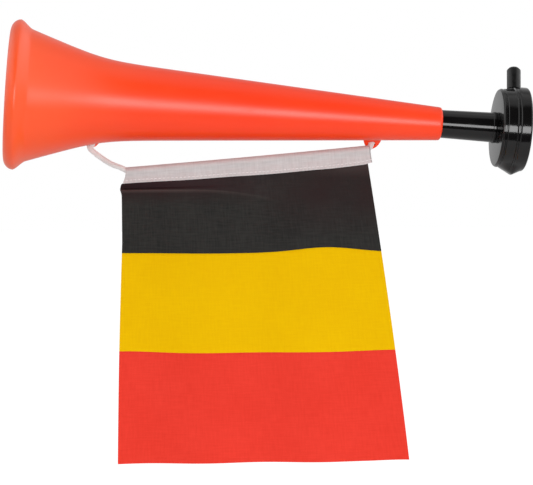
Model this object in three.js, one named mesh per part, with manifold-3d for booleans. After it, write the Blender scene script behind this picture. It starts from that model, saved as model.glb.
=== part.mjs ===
// Stadium horn: a plastic trumpet blown through a small membrane drum, with a flag hanging under it.
// Millimetres. X runs from the bell to the drum, Y points away from the viewer, Z is up. The origin is on
// the trumpet's axis, in the middle of the hand that holds the horn up. A station is a distance along the
// axis from the mouth of the bell, and a depth is a distance into the drum from its front face.
import * as THREE from "three";
import { mergeVertices } from "three/addons/utils/BufferGeometryUtils.js";
import Module from "manifold-3d";

const wasm = await Module();
wasm.setup();

// Clearances
const seat_gap = 0.3; // between pieces that touch on the real horn
const cord_gap = 0.4; // round the cord in an eye or in the sleeve

// Trumpet
const horn_length = 302; // from the mouth of the bell to the end of the neck
const horn_droop = THREE.MathUtils.degToRad(4.2); // how far the drum end hangs below level
const grip_station = 276; // where the hand holds it
const horn_wall = 1.6;
const neck_radius = 11.4;
const tube_taper = 0.069; // radius gained for each millimetre from the neck towards the bell
const bell_taper = 0.281; // how much more is gained in the bell
const bell_start = 65; // station where the bell's cone meets the long cone
const bell_bend_length = 9; // softness of the turn from the one into the other
const bell_blend = 36; // from there to where the long cone has taken over
const neck_bevel_length = 2.2;
const neck_bevel_height = 1.1;
const lip_face_radius = 43.8; // outer edge of the flat ring on the mouth
const lip_face_width = 2.4;
const lip_crest = 6.8; // station of the rolled lip's widest place
const lip_crest_radius = 51.5;
const lip_end = 15.2; // station where the lip has run out into the bell

// Eyes for the flag's cord, moulded on the trumpet
const eye_turn = THREE.MathUtils.degToRad(40); // from straight down, towards the back
const left_eye_station = 60.2;
const right_eye_station = 255.4;
const eye_height = 11.4; // above the trumpet's surface
const eye_length = 13; // along the trumpet, at the surface
const eye_thickness = 2.4;
const eye_hole_height = 7; // middle of the hole above the surface

// Neck tube, which carries the sound from the membrane to the trumpet
const tube_free_length = 38.4; // what shows between the neck and the drum
const tube_radius = 9.75; // where it leaves the neck
const tube_radius_at_drum = 10.4;
const tube_bore = 8.1; // radius of the bore
const tube_foot_bevel = 0.6; // at its end in the neck
const socket_depth = 18; // how far it goes into the neck
const stop_length = 3; // ledge in the neck that stops it
const stop_height = 1.5;
const stop_slope = 6; // length of the cone between the ledge and the trumpet's bore
const collar_radius = 10.9; // ring that bears on the drum's face
const collar_length = 3.3;
const beat_width = 1.1; // edge that the membrane beats on
const beat_slope = 2; // length of the cone behind that edge

// Drum
const drum_length = 20.2;
const drum_face_radius = 27;
const drum_wall_radius = 27.6; // at the step
const step_depth = 9; // from the face to the step of the band
const band_radius = 29.3;
const face_rounding = 1.4;
const band_rounding = 1.3;
const step_bevel = 0.3;
const line_depth = 0.4; // fine moulded line round the band
const line_place = 12; // its depth into the drum
const drum_wall = 2.2;
const face_wall = 1.8;
const hub_wall = 2;
const hub_length = 6.5;
const ledge_depth = 16.2; // seat of the membrane
const bay_radius = 27; // recess for the membrane, the pressure ring and the cap

// Rib under the drum that keeps it from rolling
const rib_height = 3;
const rib_width = 12;

// Membrane, pressure ring and cap
const membrane_thickness = 0.3;
const ring_thickness = 0.8;
const ring_bore = 23.5;
const cap_thickness = 1.8;
const cap_edge_bevel = 0.4;
const vent_count = 6;
const vent_radius = 1.8;
const vent_circle = 12;
const coin_slot_length = 30;
const coin_slot_width = 2.4;
const coin_slot_depth = 1;

// Blow tube
const blow_lean = THREE.MathUtils.degToRad(20); // from straight up, towards the back
const blow_depth = 11.7; // its place in the drum
const blow_reach = 46; // from the drum's axis to its tip
const blow_radius = 4.55;
const blow_bore = 2.6; // radius of the bore
const blow_spigot_radius = 3.7;
const blow_spigot_inset = 0.6; // how far the spigot stops short of the inside of the wall
const blow_tip_bevel = 1.6;
const boss_wall = 1.8;
const boss_top = 30.3; // distance of the boss's flat top from the drum's axis

// Cord: a limp braid, knotted behind both eyes
const cord_radius = 1.9;
const knot_radius = 3.4;
const knot_reach = 5; // from the middle of a hole to the middle of its knot
const left_exit = 3; // how far the cord runs on straight in front of the left hole
const right_exit = 2.4;

// Sleeve: a tape folded over the cord's straight run and sewn under it
const sleeve_length = 168.4;
const sleeve_inset = 1.2; // from the left end of the straight run
const tape_thickness = 0.6;
const fold_drop = 3.6; // from the cord's middle to where the two sides of the fold meet
const sleeve_drop = 10.2; // from the cord's middle to the tape's lower edge
const seam_depth = 4.6; // how much of the flag is sewn in between the tape's edges

// Flag: three cloth strips sewn edge to edge, drawn in by the tape at the top
const cloth_thickness = 0.7;
const flag_top_width = 173.6;
const flag_bottom_width = 205.5;
const flag_left_start = -2.9; // left end of the top edge, from the sleeve's left end
const flag_left_drift = -4.7; // how much further left the bottom corner is
const black_line = 57.6; // level of the black strip's lower edge, below the sleeve's left end
const yellow_height = 69;
const red_height = 77.9;
const wave_count = 2.5;
const wave_height = 2.8; // of the folds, at the lower edge
const wave_start = 0.6; // of the folds, at the tape
const tuck_height = 4; // roll of slack cloth under the left end of the tape
const tuck_drop = 15; // its level below the sleeve's left end
const tuck_spread = 2.6;
const tuck_reach = 0.5; // share of the width over which it runs out

// Fineness of the round and the soft shapes
const round_steps = 48;
const small_round_steps = 24;
const lip_steps = 6; // along the front of the lip, and again along its back
const eye_steps = 14;
const profile_steps = 10; // along the bell
const cord_steps = 4; // along each leg of the cord's route
const flag_columns = 28;
const black_rows = 12;
const lower_rows = 7; // in the yellow and in the red strip

// Station to place along X, and the outer radius of the trumpet at a station
const along = (station) => station - grip_station;
function trumpet_radius(station) {
  const bend = Math.log(1 + Math.exp((bell_start - station) / bell_bend_length));
  return neck_radius + tube_taper * (horn_length - station) + bell_taper * bell_bend_length * bend;
}

// Colours of the pieces
const paint = (color, roughness) => new THREE.MeshStandardMaterial({ color, roughness, metalness: 0 });
const orange_plastic = paint(0xff4a24, 0.35);
const black_plastic = paint(0x17171a, 0.2);
const clear_film = paint(0xd8d8d0, 0.3);
const white_braid = paint(0xe8deda, 0.9);
const white_tape = paint(0xd2c6c8, 0.9);
const black_cloth = paint(0x2d2a29, 0.9);
const yellow_cloth = paint(0xebbc0c, 0.9);
const red_cloth = paint(0xee3d31, 0.9);

// A closed mesh as a solid for cutting and joining, and a solid as a mesh again
function solid(geometry) {
  geometry.deleteAttribute("normal");
  geometry.deleteAttribute("uv");
  const merged = mergeVertices(geometry, 1e-4);
  return new wasm.Manifold(
    new wasm.Mesh({
      numProp: 3,
      vertProperties: new Float32Array(merged.attributes.position.array),
      triVerts: new Uint32Array(merged.index.array),
    }),
  );
}
function geometry_of(shape) {
  const mesh = shape.getMesh();
  const geometry = new THREE.BufferGeometry();
  geometry.setAttribute("position", new THREE.BufferAttribute(mesh.vertProperties, 3));
  geometry.setIndex(new THREE.BufferAttribute(mesh.triVerts, 1));
  return geometry;
}
const piece = (name, geometry, material) => {
  const mesh = new THREE.Mesh(geometry, material);
  mesh.name = name;
  return mesh;
};

// A closed outline of [place, radius] points turned about the X axis. It starts at the inside on the bell's
// side, goes out, along the outside towards the drum, and back inside.
function turned(outline, steps = round_steps) {
  const points = outline.map(([place, radius]) => new THREE.Vector2(radius, place));
  return new THREE.LatheGeometry([...points, points[0]], steps).rotateZ(-Math.PI / 2);
}
// A quarter round from one direction to another, both in quarter turns from +X towards larger radius
function rounded(place, radius, rounding, from, to, steps = 4) {
  return Array.from({ length: steps + 1 }, (_, i) => {
    const angle = ((from + ((to - from) * i) / steps) * Math.PI) / 2;
    return [place + rounding * Math.cos(angle), radius + rounding * Math.sin(angle)];
  });
}
// A plain cylinder that stands on a point of the X axis and runs away from it, leaning from +Z towards +Y
function radial_cylinder(radius, from, to, place, lean, steps = small_round_steps) {
  return new THREE.CylinderGeometry(radius, radius, to - from, steps)
    .rotateX(Math.PI / 2)
    .translate(0, 0, (from + to) / 2)
    .rotateX(-lean)
    .translate(place, 0, 0);
}

// Trumpet: one hollow moulding with a rolled lip at the mouth and a socket in the neck
const socket_radius = tube_radius + seat_gap;
function bell_radius(station) {
  const crest = lip_crest_radius - trumpet_radius(lip_crest);
  return trumpet_radius(station) + crest * (1 - THREE.MathUtils.smoothstep(station, lip_crest, lip_end));
}
function trumpet_outline() {
  const rolled = (wall) =>
    Array.from({ length: lip_steps }, (_, i) => {
      const angle = (Math.PI / 2) * (i / lip_steps);
      const height = lip_crest_radius - lip_face_radius - wall;
      const place = lip_crest - (lip_crest - wall) * Math.cos(angle);
      return [place, lip_face_radius + height * Math.sin(angle)];
    });
  const steps = (from, to, count) =>
    Array.from({ length: count }, (_, i) => from + ((to - from) * i) / count);
  const lip_back = steps(lip_crest, lip_end, lip_steps);
  const bell_end = bell_start + bell_blend;
  const bell = [...lip_back, ...steps(lip_end, bell_end, profile_steps), bell_end];
  const long_cone = [bell_start + 2 * bell_blend, horn_length - neck_bevel_length];
  const outside = [...bell, ...long_cone].map((station) => [station, bell_radius(station)]);
  const neck_end = [horn_length, neck_radius - neck_bevel_height];
  const socket_end = horn_length - socket_depth;
  const stop_radius = socket_radius - stop_height;
  const socket = [
    [horn_length, socket_radius],
    [socket_end, socket_radius],
    [socket_end, stop_radius],
    [socket_end - stop_length, stop_radius],
  ];
  const bore_end = socket_end - stop_length - stop_slope;
  const bore = [bore_end, long_cone[0], ...bell.toReversed()];
  const inside = bore.map((station) => [station, bell_radius(station) - horn_wall]);
  const lip_inside = rolled(horn_wall).toReversed();
  const mouth_radius = lip_face_radius - lip_face_width;
  const mouth = [
    [horn_wall, mouth_radius],
    [0, mouth_radius],
  ];
  return [...rolled(0), ...outside, neck_end, ...socket, ...inside, ...lip_inside, ...mouth];
}
// An eye is a half-round ear with a hole across it, standing on the trumpet
function eye(station) {
  const off_surface = (place, height) => new THREE.Vector2(place, trumpet_radius(station + place) + height);
  const rim = Array.from({ length: eye_steps + 1 }, (_, i) => {
    const angle = (Math.PI * i) / eye_steps;
    return off_surface((eye_length / 2) * Math.cos(angle), eye_height * Math.sin(angle));
  });
  const root = [-0.5, 0, 0.5].map((share) => off_surface(eye_length * share, -horn_wall / 2));
  const ear = new THREE.ExtrudeGeometry(new THREE.Shape([...rim, ...root]), {
    depth: eye_thickness,
    bevelEnabled: false,
  });
  const hole = new THREE.CylinderGeometry(
    cord_radius + cord_gap,
    cord_radius + cord_gap,
    eye_thickness * 3,
    small_round_steps / 2,
  );
  ear.translate(0, 0, -eye_thickness / 2);
  hole.rotateX(Math.PI / 2).translate(0, trumpet_radius(station) + eye_hole_height, 0);
  const place = (geometry) =>
    geometry.rotateX(-Math.PI / 2 + eye_turn).translate(along(station), 0, 0);
  return solid(place(ear)).subtract(solid(place(hole)));
}
function horn_body() {
  const shell = solid(turned(trumpet_outline()).translate(-grip_station, 0, 0));
  const eyes = [left_eye_station, right_eye_station].map(eye);
  return geometry_of(eyes.reduce((body, one) => body.add(one), shell));
}

// Neck tube: from the socket through the drum's face to the membrane
const drum_station = horn_length + tube_free_length;
const hub_bore = tube_radius_at_drum + seat_gap;
const membrane_depth = ledge_depth + seat_gap;
function neck_tube() {
  const foot = -tube_free_length - socket_depth + seat_gap;
  const collar_front = -seat_gap - collar_length;
  return turned([
    [foot, tube_bore],
    [foot, tube_radius - tube_foot_bevel],
    [foot + tube_foot_bevel, tube_radius],
    [-tube_free_length, tube_radius],
    [collar_front, tube_radius_at_drum],
    [collar_front, collar_radius],
    [-seat_gap, collar_radius],
    [-seat_gap, tube_radius_at_drum],
    [ledge_depth - beat_slope, tube_radius_at_drum],
    [ledge_depth, tube_bore + beat_width],
    [ledge_depth, tube_bore],
  ]);
}

// Drum body: a cup with a hub for the neck tube, a ledge for the membrane and a recess for the cap
function drum_outline() {
  const chamber_radius = drum_wall_radius - drum_wall;
  return [
    [0, hub_bore],
    ...rounded(face_rounding, drum_face_radius - face_rounding, face_rounding, 2, 1),
    [step_depth, drum_wall_radius],
    [step_depth, band_radius - step_bevel],
    [step_depth + step_bevel, band_radius],
    [line_place - line_depth, band_radius],
    [line_place, band_radius - line_depth],
    [line_place + line_depth, band_radius],
    ...rounded(drum_length - band_rounding, band_radius - band_rounding, band_rounding, 1, 0),
    [drum_length, bay_radius],
    [ledge_depth, bay_radius],
    [ledge_depth, chamber_radius],
    [face_wall, chamber_radius],
    [face_wall, hub_bore + hub_wall],
    [face_wall + hub_length, hub_bore + hub_wall],
    [face_wall + hub_length, hub_bore],
  ];
}
// A wedge under the drum: nothing at the face, full height at the moulded line, nothing at the back
function roll_rib() {
  const wedge = new THREE.Shape();
  const back = drum_length - band_rounding;
  wedge.moveTo(face_rounding, -drum_face_radius + drum_wall / 2);
  wedge.lineTo(face_rounding, -drum_face_radius);
  wedge.lineTo(line_place + line_depth, -band_radius - rib_height);
  wedge.lineTo(back, -band_radius);
  wedge.lineTo(back, -(band_radius + bay_radius) / 2);
  wedge.lineTo(step_depth, -drum_wall_radius + drum_wall / 3);
  return new THREE.ExtrudeGeometry(wedge, { depth: rib_width, bevelEnabled: false })
    .translate(0, 0, -rib_width / 2)
    .rotateX(Math.PI / 2);
}
function drum_body() {
  const hole_radius = blow_spigot_radius + seat_gap;
  const boss_foot = drum_wall_radius - drum_wall / 2;
  const boss = radial_cylinder(hole_radius + boss_wall, boss_foot, boss_top, blow_depth, blow_lean);
  const hole = radial_cylinder(hole_radius, band_radius / 2, 2 * band_radius, blow_depth, blow_lean);
  const bay = new THREE.CylinderGeometry(bay_radius, bay_radius, drum_length, round_steps)
    .rotateZ(-Math.PI / 2)
    .translate(ledge_depth + drum_length / 2, 0, 0);
  return geometry_of(
    solid(turned(drum_outline()))
      .add(solid(boss).subtract(solid(bay)))
      .add(solid(roll_rib()))
      .subtract(solid(hole)),
  );
}

// Membrane, pressure ring and cap, all held in the recess at the back of the drum
function membrane() {
  return new THREE.CylinderGeometry(
    bay_radius - seat_gap,
    bay_radius - seat_gap,
    membrane_thickness,
    round_steps,
  )
    .rotateZ(-Math.PI / 2)
    .translate(membrane_depth + membrane_thickness / 2, 0, 0);
}
const ring_depth = membrane_depth + membrane_thickness + seat_gap;
function pressure_ring() {
  const back = ring_depth + ring_thickness;
  return turned([
    [ring_depth, ring_bore],
    [ring_depth, bay_radius - seat_gap],
    [back, bay_radius - seat_gap],
    [back, ring_bore],
  ]);
}
const cap_depth = ring_depth + ring_thickness + seat_gap;
function drum_cap() {
  const cap_radius = bay_radius - seat_gap;
  const back = cap_depth + cap_thickness;
  const disc = new THREE.LatheGeometry(
    [
      [0, cap_depth],
      [cap_radius, cap_depth],
      [cap_radius, back - cap_edge_bevel],
      [cap_radius - cap_edge_bevel, back],
      [0, back],
    ].map(([radius, place]) => new THREE.Vector2(radius, place)),
    round_steps,
  ).rotateZ(-Math.PI / 2);
  const slot = new THREE.BoxGeometry(2 * coin_slot_depth, coin_slot_length, coin_slot_width);
  slot.translate(back, 0, 0);
  let cap = solid(disc).subtract(solid(slot));
  const length = 4 * cap_thickness;
  for (let i = 0; i < vent_count; i += 1) {
    const vent = new THREE.CylinderGeometry(vent_radius, vent_radius, length, small_round_steps / 2)
      .rotateZ(-Math.PI / 2)
      .translate(cap_depth, 0, vent_circle)
      .rotateX((2 * Math.PI * i) / vent_count);
    cap = cap.subtract(solid(vent));
  }
  return geometry_of(cap);
}

// Blow tube: stands in the drum's boss on a shoulder
function blow_tube() {
  const shoulder = boss_top + seat_gap;
  const foot = drum_wall_radius - drum_wall + blow_spigot_inset;
  return turned(
    [
      [foot, blow_bore],
      [foot, blow_spigot_radius],
      [shoulder, blow_spigot_radius],
      [shoulder, blow_radius],
      [blow_reach - blow_tip_bevel, blow_radius],
      [blow_reach, blow_radius - blow_tip_bevel / 2],
      [blow_reach, blow_bore],
    ],
    small_round_steps,
  )
    .rotateY(-Math.PI / 2)
    .rotateX(-blow_lean)
    .translate(blow_depth, 0, 0);
}

// Middle of an eye's hole, and the hole's direction towards the back, in the frame of the whole part
const droop = new THREE.Matrix4().makeRotationY(horn_droop);
function eye_hole(station) {
  const reach = trumpet_radius(station) + eye_hole_height;
  const middle = new THREE.Vector3(along(station), reach * Math.sin(eye_turn), -reach * Math.cos(eye_turn));
  return middle.applyMatrix4(droop);
}
const hole_way = new THREE.Vector3(0, Math.cos(eye_turn), Math.sin(eye_turn)).applyMatrix4(droop);

// Cord: from the left knot through the left eye, down and along under the trumpet, and up into the right
// eye. The bends lie at these distances from the middle of the nearer hole, in cord radii.
const left_fall = [
  [-0.8, -2.2, -2.4],
  [1.25, -2.6, -4.3],
  [5.6, -2.9, -7.3],
  [9.5, -3, -9.5],
];
const run_start = [11.7, -3, -11];
const run_end = [-2.15, -1.65, -2.4];
const right_rise = [
  [-0.7, -1.85, -2.15],
  [0.05, -1.75, -1.5],
];
// Shares of the straight run where the cord has a point, close to both ends so that it stays straight
const run_shares = [0, 0.03, 0.35, 0.65, 0.97, 1];
const left_hole = eye_hole(left_eye_station);
const right_hole = eye_hole(right_eye_station);
const off_hole = (hole, radii) => hole.clone().add(new THREE.Vector3(...radii).multiplyScalar(cord_radius));
const through_hole = (hole, reach) => hole.clone().addScaledVector(hole_way, reach);
const run_left = off_hole(left_hole, run_start);
const run_right = off_hole(right_hole, run_end);
const cord_route = [
  through_hole(left_hole, knot_reach),
  left_hole,
  through_hole(left_hole, -left_exit),
  ...left_fall.map((radii) => off_hole(left_hole, radii)),
  ...run_shares.map((share) => run_left.clone().lerp(run_right, share)),
  ...right_rise.map((radii) => off_hole(right_hole, radii)),
  through_hole(right_hole, -right_exit),
  right_hole,
  through_hole(right_hole, knot_reach),
];
// The steps along the cord follow the route's points, so the tight bends get as many as the long runs
class Cord_route extends THREE.CatmullRomCurve3 {
  getUtoTmapping(share) {
    return share;
  }
}
function flag_cord() {
  const section = new THREE.Shape();
  section.absarc(0, 0, cord_radius, 0, 2 * Math.PI);
  const strand = new THREE.ExtrudeGeometry(section, {
    steps: cord_steps * (cord_route.length - 1),
    curveSegments: 4,
    extrudePath: new Cord_route(cord_route),
  });
  const knots = [cord_route[0], cord_route.at(-1)].map((end) =>
    solid(new THREE.SphereGeometry(knot_radius, 12, 8).translate(...end.toArray())),
  );
  return geometry_of(knots.reduce((cord, knot) => cord.add(knot), solid(strand)));
}

// Sleeve: the folded tape in section, open below, with the cord in its fold and the flag between its edges
function flag_sleeve() {
  const inner = cord_radius + cord_gap;
  const outer = inner + tape_thickness;
  const slit = cloth_thickness / 2 + seat_gap;
  const left_foot = -Math.PI * 0.75;
  const right_foot = -Math.PI * 0.25;
  const section = new THREE.Shape();
  section.moveTo(-slit - tape_thickness, -sleeve_drop);
  section.lineTo(-slit, -sleeve_drop);
  section.lineTo(-slit, -fold_drop);
  section.absarc(0, 0, inner, left_foot, right_foot, true);
  section.lineTo(slit, -fold_drop);
  section.lineTo(slit, -sleeve_drop);
  section.lineTo(slit + tape_thickness, -sleeve_drop);
  section.lineTo(slit + tape_thickness, -fold_drop);
  section.absarc(0, 0, outer, right_foot, left_foot, false);
  section.lineTo(-slit - tape_thickness, -fold_drop);
  return new THREE.ExtrudeGeometry(section, { depth: sleeve_length, bevelEnabled: false, curveSegments: 14 })
    .rotateX(Math.PI / 2)
    .rotateZ(Math.PI / 2);
}

// Flag: a point of the cloth from its share of the width and its level below the sleeve's left end
const run = run_right.clone().sub(run_left).normalize();
const sleeve_left = run_left.clone().addScaledVector(run, sleeve_inset);
const tape_slope = run.z / Math.hypot(run.x, run.y);
const flag_foot = black_line + yellow_height + red_height;
const flag_head = sleeve_drop - seam_depth;
function cloth_point(share, level) {
  const fallen = level / flag_foot;
  const left = flag_left_start + flag_left_drift * fallen;
  const width = flag_top_width + (flag_bottom_width - flag_top_width) * fallen;
  const wave = wave_start + (wave_height - wave_start) * fallen;
  const waves = wave * Math.sin(2 * Math.PI * wave_count * share);
  const fade = Math.max(0, 1 - share / tuck_reach);
  const roll = tuck_height * fade * Math.exp(-(((level - tuck_drop) / tuck_spread) ** 2));
  const below_tape = level + share * flag_top_width * tape_slope;
  const held = THREE.MathUtils.smoothstep(below_tape, flag_head, 2 * sleeve_drop);
  return new THREE.Vector3(left + width * share, waves * held - roll, -level);
}
// A strip of cloth between two levels, which may differ at its left and right ends
function strip(top_left, top_right, bottom, rows, columns = flag_columns) {
  const places = [];
  const faces = [];
  const at = (side, row, column) => (side * (rows + 1) + row) * (columns + 1) + column;
  for (const side of [-1, 1]) {
    for (let row = 0; row <= rows; row += 1) {
      for (let column = 0; column <= columns; column += 1) {
        const share = column / columns;
        const top = top_left + (top_right - top_left) * share;
        const point = cloth_point(share, top + ((bottom - top) * row) / rows);
        places.push(point.x, point.y + (side * cloth_thickness) / 2, point.z);
      }
    }
  }
  const quad = (a, b, c, d) => faces.push(a, b, c, a, c, d);
  for (let row = 0; row < rows; row += 1) {
    for (let column = 0; column < columns; column += 1) {
      quad(at(0, row, column), at(0, row + 1, column), at(0, row + 1, column + 1), at(0, row, column + 1));
      quad(at(1, row, column), at(1, row, column + 1), at(1, row + 1, column + 1), at(1, row + 1, column));
    }
  }
  for (let column = 0; column < columns; column += 1) {
    quad(at(0, 0, column), at(0, 0, column + 1), at(1, 0, column + 1), at(1, 0, column));
    quad(at(0, rows, column), at(1, rows, column), at(1, rows, column + 1), at(0, rows, column + 1));
  }
  for (let row = 0; row < rows; row += 1) {
    quad(at(0, row, 0), at(1, row, 0), at(1, row + 1, 0), at(0, row + 1, 0));
    quad(at(0, row, columns), at(0, row + 1, columns), at(1, row + 1, columns), at(1, row, columns));
  }
  const geometry = new THREE.BufferGeometry();
  geometry.setAttribute("position", new THREE.Float32BufferAttribute(places, 3));
  geometry.setIndex(faces);
  return geometry;
}

// The trumpet and the drum hang on the tilted axis
const horn = new THREE.Group();
horn.applyMatrix4(droop);
horn.add(piece("horn_body", horn_body(), orange_plastic));
const drum = new THREE.Group();
drum.position.x = along(drum_station);
drum.add(
  piece("neck_tube", neck_tube(), black_plastic),
  piece("drum_body", drum_body(), black_plastic),
  piece("blow_tube", blow_tube(), black_plastic),
  piece("membrane", membrane(), clear_film),
  piece("pressure_ring", pressure_ring(), black_plastic),
  piece("drum_cap", drum_cap(), black_plastic),
);
horn.add(drum);

// The sleeve lies along the cord's straight run, and the strips hang straight down under it
const up = new THREE.Vector3(0, 0, 1).projectOnPlane(run).normalize();
const sleeve = new THREE.Group();
sleeve.position.copy(sleeve_left);
sleeve.setRotationFromMatrix(new THREE.Matrix4().makeBasis(run, up.clone().cross(run), up));
sleeve.add(piece("flag_sleeve", flag_sleeve(), white_tape));

const flag = new THREE.Group();
flag.position.copy(sleeve_left);
flag.rotation.z = Math.atan2(run.y, run.x);
const head_right = flag_head - flag_top_width * tape_slope;
const join = seat_gap / 2;
const yellow_top = black_line + join;
const red_top = black_line + yellow_height + join;
flag.add(
  piece("flag_black_strip", strip(flag_head, head_right, black_line - join, black_rows), black_cloth),
  piece("flag_yellow_strip", strip(yellow_top, yellow_top, red_top - seat_gap, lower_rows), yellow_cloth),
  piece("flag_red_strip", strip(red_top, red_top, flag_foot, lower_rows), red_cloth),
);

const stadium_horn = new THREE.Group();
stadium_horn.add(horn, sleeve, flag, piece("flag_cord", flag_cord(), white_braid));
export default stadium_horn;
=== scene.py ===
# Stadium horn: an orange trumpet with a black membrane drum, a blow tube and a small flag hanging under it
import math

import bmesh
import bpy
import numpy as np
from mathutils import Matrix, Quaternion, Vector


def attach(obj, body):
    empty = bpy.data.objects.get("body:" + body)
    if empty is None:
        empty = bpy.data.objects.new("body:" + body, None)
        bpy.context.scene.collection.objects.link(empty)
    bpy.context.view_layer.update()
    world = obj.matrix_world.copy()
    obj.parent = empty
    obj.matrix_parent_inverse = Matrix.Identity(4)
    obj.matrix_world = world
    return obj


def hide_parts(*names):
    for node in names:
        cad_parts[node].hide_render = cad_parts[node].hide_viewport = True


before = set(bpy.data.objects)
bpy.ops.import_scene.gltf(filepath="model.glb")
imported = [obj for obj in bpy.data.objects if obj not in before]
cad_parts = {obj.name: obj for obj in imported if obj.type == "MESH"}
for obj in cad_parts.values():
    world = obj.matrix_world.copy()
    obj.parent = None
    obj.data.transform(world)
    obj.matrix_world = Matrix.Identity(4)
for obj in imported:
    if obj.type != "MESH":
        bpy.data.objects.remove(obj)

scene = bpy.context.scene
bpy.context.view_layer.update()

# Camera
# It stands a metre and a half in front of the horn, a little above it and towards the bell. Its lens is
# long, so the horn shows little perspective, and it is rolled by less than half a degree.
view_centre = Vector((-0.0975, 0, -0.0835))
view_turn = math.radians(-4.78)
view_rise = math.radians(2.37)
view_distance = 1.471
view_roll = math.radians(-0.37)
away = Vector((
    math.sin(view_turn) * math.cos(view_rise),
    -math.cos(view_turn) * math.cos(view_rise),
    math.sin(view_rise),
))
camera = bpy.data.objects.new("camera", bpy.data.cameras.new("camera"))
camera.data.lens = 143
camera.data.sensor_width = 36
camera.location = view_centre + away * view_distance
camera.rotation_mode = "QUATERNION"
camera.rotation_quaternion = (-away).to_track_quat("-Z", "Y") @ Quaternion((0, 0, 1), view_roll)
scene.collection.objects.link(camera)
scene.camera = camera

# Flag cord
# A limp white braid of sixteen yarns over a core, 4 mm thick, with a stop knot behind each eye of the
# trumpet. It is threaded through both eyes, and its straight run between them carries the flag.
cord_places = [
    (-0.21710, 0.02800, -0.00972),
    (-0.21733, 0.02417, -0.01292),
    (-0.21747, 0.02187, -0.01485),
    (-0.21931, 0.02090, -0.01582),
    (-0.21836, 0.02020, -0.01799),
    (-0.21491, 0.01960, -0.02122),
    (-0.21077, 0.01920, -0.02425),
    (-0.20662, 0.01890, -0.02707),
    (-0.20246, 0.01870, -0.02919),
    (-0.19830, 0.01850, -0.03068),
    (-0.19511, 0.01845, -0.03224),
    (-0.19280, 0.01837, -0.03355),
    (-0.18982, 0.01823, -0.03338),
    (-0.13586, 0.01577, -0.02883),
    (-0.08508, 0.01346, -0.02455),
    (-0.02917, 0.01091, -0.01980),
    (-0.02580, 0.01080, -0.01930),
    (-0.02390, 0.01095, -0.01840),
    (-0.02280, 0.01200, -0.01685),
    (-0.02176, 0.01389, -0.01501),
    (-0.02152, 0.01772, -0.01180),
]


def smooth_route(places, steps):
    """A curve through the places that doesn't swing out at the tight bends"""
    stops = [Vector(place) for place in places]
    stops = [2 * stops[0] - stops[1], *stops, 2 * stops[-1] - stops[-2]]
    line = []
    for a, b, c, d in zip(stops, stops[1:], stops[2:], stops[3:]):
        before, here, after = ((y - x).length ** 0.5 for x, y in ((a, b), (b, c), (c, d)))
        start = ((b - a) / before - (c - a) / (before + here) + (c - b) / here) * here
        end = ((c - b) / here - (d - b) / (here + after) + (d - c) / after) * here
        for i in range(steps):
            t = i / steps
            line.append(
                b + start * t
                + (3 * (c - b) - 2 * start - end) * t * t
                + (2 * (b - c) + start + end) * t**3
            )
    return [*line, stops[-2]]


def line_object(name, places, closed=False):
    """A curve object through the places, with straight legs"""
    curve = bpy.data.curves.new(name, "CURVE")
    curve.dimensions = "3D"
    spline = curve.splines.new("POLY")
    spline.points.add(len(places) - 1)
    for point, place in zip(spline.points, places):
        point.co = (*place, 1)
    spline.use_cyclic_u = closed
    made = bpy.data.objects.new(name, curve)
    scene.collection.objects.link(made)
    return made


class Nodes:
    """A node tree of any kind"""

    def __init__(self, tree):
        self.tree = tree

    def add(self, kind, settings=None, **inputs):
        """A node, with its inputs set or linked by name, or by number as in _0"""
        node = self.tree.nodes.new(kind)
        for name, value in (settings or {}).items():
            setattr(node, name, value)
        for name, value in inputs.items():
            key = int(name[1:]) if name[0] == "_" else name.replace("_", " ")
            socket = node.inputs[key]
            for one in value if isinstance(value, list) else [value]:
                if isinstance(one, bpy.types.NodeSocket):
                    self.tree.links.new(one, socket)
                else:
                    socket.default_value = one
        return node

    def math(self, operation, *values):
        inputs = {f"_{i}": value for i, value in enumerate(values)}
        return self.add("ShaderNodeMath", {"operation": operation}, **inputs).outputs[0]

    def between(self, value, low, high, start=0.3, stop=0.7, kind="LINEAR"):
        """The value's range from start to stop stretched from low to high"""
        made = self.add(
            "ShaderNodeMapRange",
            {"interpolation_type": kind},
            Value=value,
            From_Min=start,
            From_Max=stop,
            To_Min=low,
            To_Max=high,
        )
        return made.outputs[0]


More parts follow.
